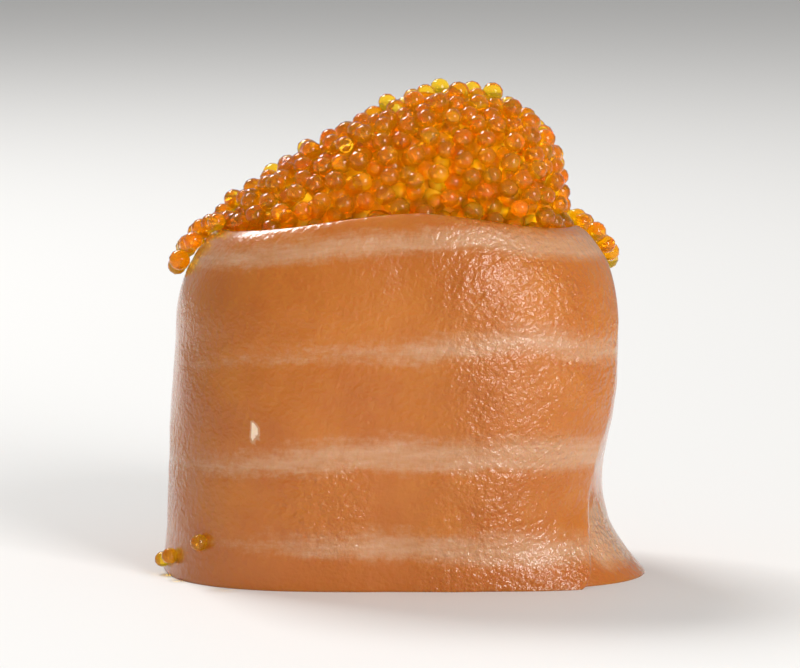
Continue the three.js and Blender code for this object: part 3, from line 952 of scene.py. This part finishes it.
def roe_finish(name, deep, bright, clear):
    finish, tree, shader = new_finish(name)
    place = node(tree, "ShaderNodeTexCoord").outputs["Object"]
    tone = node(tree, "ShaderNodeAttribute", attribute_name="tone").outputs["Fac"]
    clouds = noise_of(tree, place, 420, detail=2)
    share = stretched(tree, scaled(tree, clouds, 0.8, added=tone), 0.2, 1.3)
    tree.links.new(colour_mix(tree, share, deep, bright), shader.inputs["Base Color"])
    set_shader(shader, Roughness=0.08, IOR=1.12, Transmission_Weight=clear, Subsurface_Weight=1.0,
               Subsurface_Radius=(0.4, 0.25, 0.1), Subsurface_Scale=0.0005,
               Coat_Weight=0.7, Coat_Roughness=0.05, Coat_IOR=1.4)
    return finish


clear_roe = roe_finish("roe", ROE_DEEP, ROE_BRIGHT, clear=0.92)
roe_eggs.data.materials.append(clear_roe)
stray_roe.data.materials.append(clear_roe)
roe_core.data.materials.append(roe_finish("roe_below", CORE_DEEP, CORE_BRIGHT, clear=0.0))
print("roe finish:", len(clear_roe.node_tree.nodes), "nodes")

# %% [markdown]
# ## The rice
# Only the underside of the rice shows, and only when the piece is picked up. It is a pressed block with its
# grains lying flat against the board. The whole block could be made of grains, but those inside never show.
# So the block is stacked from rings like the bed, and one layer of grains, laid by chance where there is
# room, covers its foot.

# %% Grains in the tray
GRAIN_LENGTH, GRAIN_WIDTH, GRAIN_HEIGHT = 6.2, 2.7, 2.5
GRAIN_SPACING, GRAIN_INSET = 2.4, 2.1
GRAIN_TILT, GRAIN_LIFT = math.radians(10), 0.3  # every third grain lies a little higher
FOOT_MIDDLE = Vector((-FOOT_LEAN, 0, 0))

grains = Tray(cell=4)
throw = dice(41)
for _ in range(4000):
    angle, reach = FULL_TURN * throw(), math.sqrt(throw())
    outward = inner_edge(angle, 0) - FOOT_MIDDLE
    centre = FOOT_MIDDLE + outward.normalized() * (outward.length - GRAIN_INSET) * reach
    centre.z = GRAIN_HEIGHT / 2 + (0 if len(grains.eggs) % 3 else GRAIN_LIFT)
    yaw, tilt = math.pi * throw(), GRAIN_TILT * (throw() - 0.5)
    if grains.has_room(centre, GRAIN_SPACING):
        grains.lay(centre, 1, yaw, tilt)
print("grains:", len(grains.eggs))

# %% Rice block
BLOCK_FOOT = GRAIN_HEIGHT * 0.4
RICE_RINGS = [(0.2, 1), (0.4, 1), (0.52, 1), (0.54, 0.9), (0.54, 0.5)]


def add_grain(shape, centre, yaw, tilt):
    """A short grain: a ball drawn out long, a little flatter on one side."""
    turn = Matrix.Rotation(yaw, 4, "Z") @ Matrix.Rotation(tilt, 4, "Y")
    size = Matrix.Diagonal((GRAIN_LENGTH / 2, GRAIN_WIDTH / 2, GRAIN_HEIGHT / 2, 1))
    bmesh.ops.create_icosphere(shape, subdivisions=2, radius=1,
                               matrix=Matrix.Translation(centre) @ turn @ size)


rice_shape = stacked_block(0, BLOCK_FOOT, RICE_RINGS, flat_top=RICE_TOP)
for centre, _, yaw, tilt in grains.eggs:
    add_grain(rice_shape, centre, yaw, tilt)
rice = finished_piece("pressed_rice", rice_shape, "rice_block")

# %% Rice finish
RICE_SHADE, RICE_WHITE = (0.78, 0.73, 0.62, 1), (0.88, 0.86, 0.8, 1)


def rice_finish():
    finish, tree, shader = new_finish("boiled_rice")
    place = node(tree, "ShaderNodeTexCoord").outputs["Object"]
    share = stretched(tree, noise_of(tree, place, 300, detail=3), 0.3, 0.7)
    tree.links.new(colour_mix(tree, share, RICE_SHADE, RICE_WHITE), shader.inputs["Base Color"])
    starch = bump(tree, noise_of(tree, place, 2200, detail=3), strength=0.3, distance=0.0001)
    tree.links.new(starch, shader.inputs["Normal"])
    set_shader(shader, Roughness=0.38, IOR=1.4, Subsurface_Weight=0.5, Subsurface_Radius=(1, 0.8, 0.55),
               Subsurface_Scale=0.001, Coat_Weight=0.15, Coat_Roughness=0.2)
    return finish


rice.data.materials.append(rice_finish())
print("rice finish:", len(rice.data.materials[0].node_tree.nodes), "nodes")

# %% [markdown]
# ## Floor, light and camera
# A wide pale floor and two soft windows of light: a broad one from the right front, and a narrower one from
# the upper left behind, which puts the wet streak on the shoulder. The camera looks from just above the
# level of the piece.

# %% Floor
FLOOR_REACH = 3


def floor():
    made = bmesh.new()
    bmesh.ops.create_grid(made, x_segments=1, y_segments=1, size=FLOOR_REACH)
    mesh = bpy.data.meshes.new("floor")
    made.to_mesh(mesh)
    plane = bpy.data.objects.new("floor", mesh)
    bpy.context.scene.collection.objects.link(plane)
    finish, _, shader = new_finish("pale_floor")
    set_shader(shader, Base_Color=(0.8, 0.79, 0.77, 1), Roughness=0.6)
    mesh.materials.append(finish)


floor()
print("floor, in metres:", 2 * FLOOR_REACH)

# %% Light
MIDDLE = (0, 0, 0.024)
ROOM_LIGHT = 0.38


def soft_light(name, place, aim, size, watts):
    lamp = bpy.data.lights.new(name, "AREA")
    lamp.shape, lamp.size, lamp.size_y = "RECTANGLE", size[0], size[1]
    lamp.energy = watts
    made = bpy.data.objects.new(name, lamp)
    made.location = place
    made.rotation_euler = (Vector(aim) - Vector(place)).to_track_quat("-Z", "Y").to_euler()
    bpy.context.scene.collection.objects.link(made)


soft_light("window_right", (0.36, -0.54, 0.3), MIDDLE, size=(0.25, 0.4), watts=4.4)
soft_light("window_left", (-0.3, 0.4, 0.6), MIDDLE, size=(0.35, 0.2), watts=4.2)
world = bpy.data.worlds.new("room")
world.use_nodes = True
set_shader(world.node_tree.nodes["Background"], Color=(1, 1, 1, 1), Strength=ROOM_LIGHT)
bpy.context.scene.world = world
print("lights:", [lamp.name for lamp in bpy.data.lights])

# %% Camera
ELEVATION = math.radians(7)
CAMERA_DISTANCE, FOCAL_LENGTH = 0.5175, 225

lens = bpy.data.cameras.new("camera")
lens.lens = FOCAL_LENGTH
camera = bpy.data.objects.new("camera", lens)
back = Vector((0, -math.cos(ELEVATION), math.sin(ELEVATION)))
camera.location = Vector(MIDDLE) + back * CAMERA_DISTANCE
camera.rotation_euler = (-back).to_track_quat("-Z", "Y").to_euler()
lens.clip_start, lens.clip_end = 0.01, 20
bpy.context.scene.collection.objects.link(camera)
bpy.context.scene.camera = camera
bpy.context.scene.view_settings.view_transform = "Standard"  # colours come out as the finishes name them
print("camera, in metres:", [round(x, 3) for x in camera.location])
